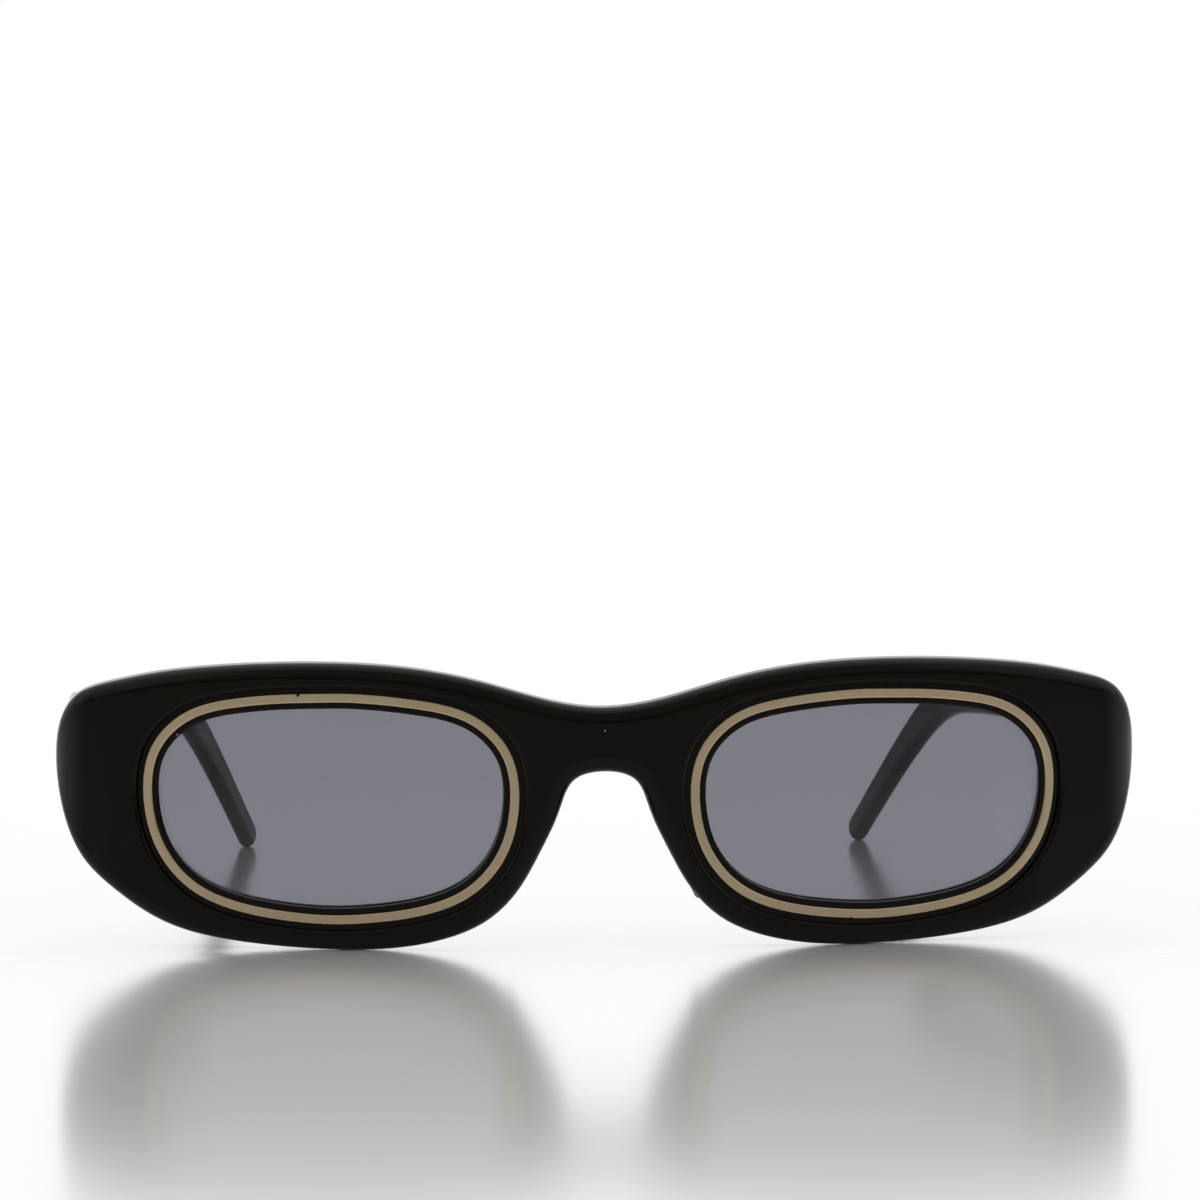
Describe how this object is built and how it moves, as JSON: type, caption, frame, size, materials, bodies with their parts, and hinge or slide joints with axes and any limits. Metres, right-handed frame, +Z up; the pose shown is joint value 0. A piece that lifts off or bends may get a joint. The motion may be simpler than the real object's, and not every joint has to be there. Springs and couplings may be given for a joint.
{
  "type": "sunglasses",
  "caption": "Narrow rectangular wrap sunglasses: glossy black front, champagne trim rings sunk round grey lenses, folding temples with drop ends.",
  "frame": {"origin": "middle of the bounding box's bottom face, on the table that the open glasses stand on", "axes": "+X to the wearer's left, +Y from the front back along the temples, +Z up"},
  "size_m": [0.142, 0.1478, 0.0372],
  "materials": {
    "frame": "high-gloss polished black acetate",
    "temple": "polished black acetate",
    "nose_pad": "polished black acetate, lightly worn",
    "lens": "polished neutral grey tint",
    "trim_ring": "satin champagne plating",
    "hinge": "satin nickel silver",
    "screw": "bright turned steel",
    "core_wire": "drawn nickel silver"
  },
  "bodies": {
    "front": {"front_frame": "frame", "lens_left": "lens", "lens_right": "lens", "trim_ring_left": "trim_ring", "trim_ring_right": "trim_ring", "nose_pad_left": "nose_pad", "nose_pad_right": "nose_pad", "front_hinge_leaf_left": "hinge", "front_hinge_leaf_right": "hinge", "front_leaf_pins_left": "hinge", "front_leaf_pins_right": "hinge", "hinge_screw_left": "screw", "hinge_screw_right": "screw"},
    "temple_left_arm": {"temple_left": "temple", "temple_wire_left": "core_wire", "temple_hinge_leaf_left": "hinge", "temple_leaf_pins_left": "hinge"},
    "temple_right_arm": {"temple_right": "temple", "temple_wire_right": "core_wire", "temple_hinge_leaf_right": "hinge", "temple_leaf_pins_right": "hinge"}
  },
  "joints": [
    {"name": "temple_hinge_left", "type": "hinge", "parent": "front", "child": "temple_left_arm", "pos_m": [0.0651, -0.05158, 0.0267], "axis": [0, 0, 1], "range_deg": [0, 83]},
    {"name": "temple_hinge_right", "type": "hinge", "parent": "front", "child": "temple_right_arm", "pos_m": [-0.0651, -0.05158, 0.0267], "axis": [0, 0, -1], "range_deg": [0, 76]}
  ]
}
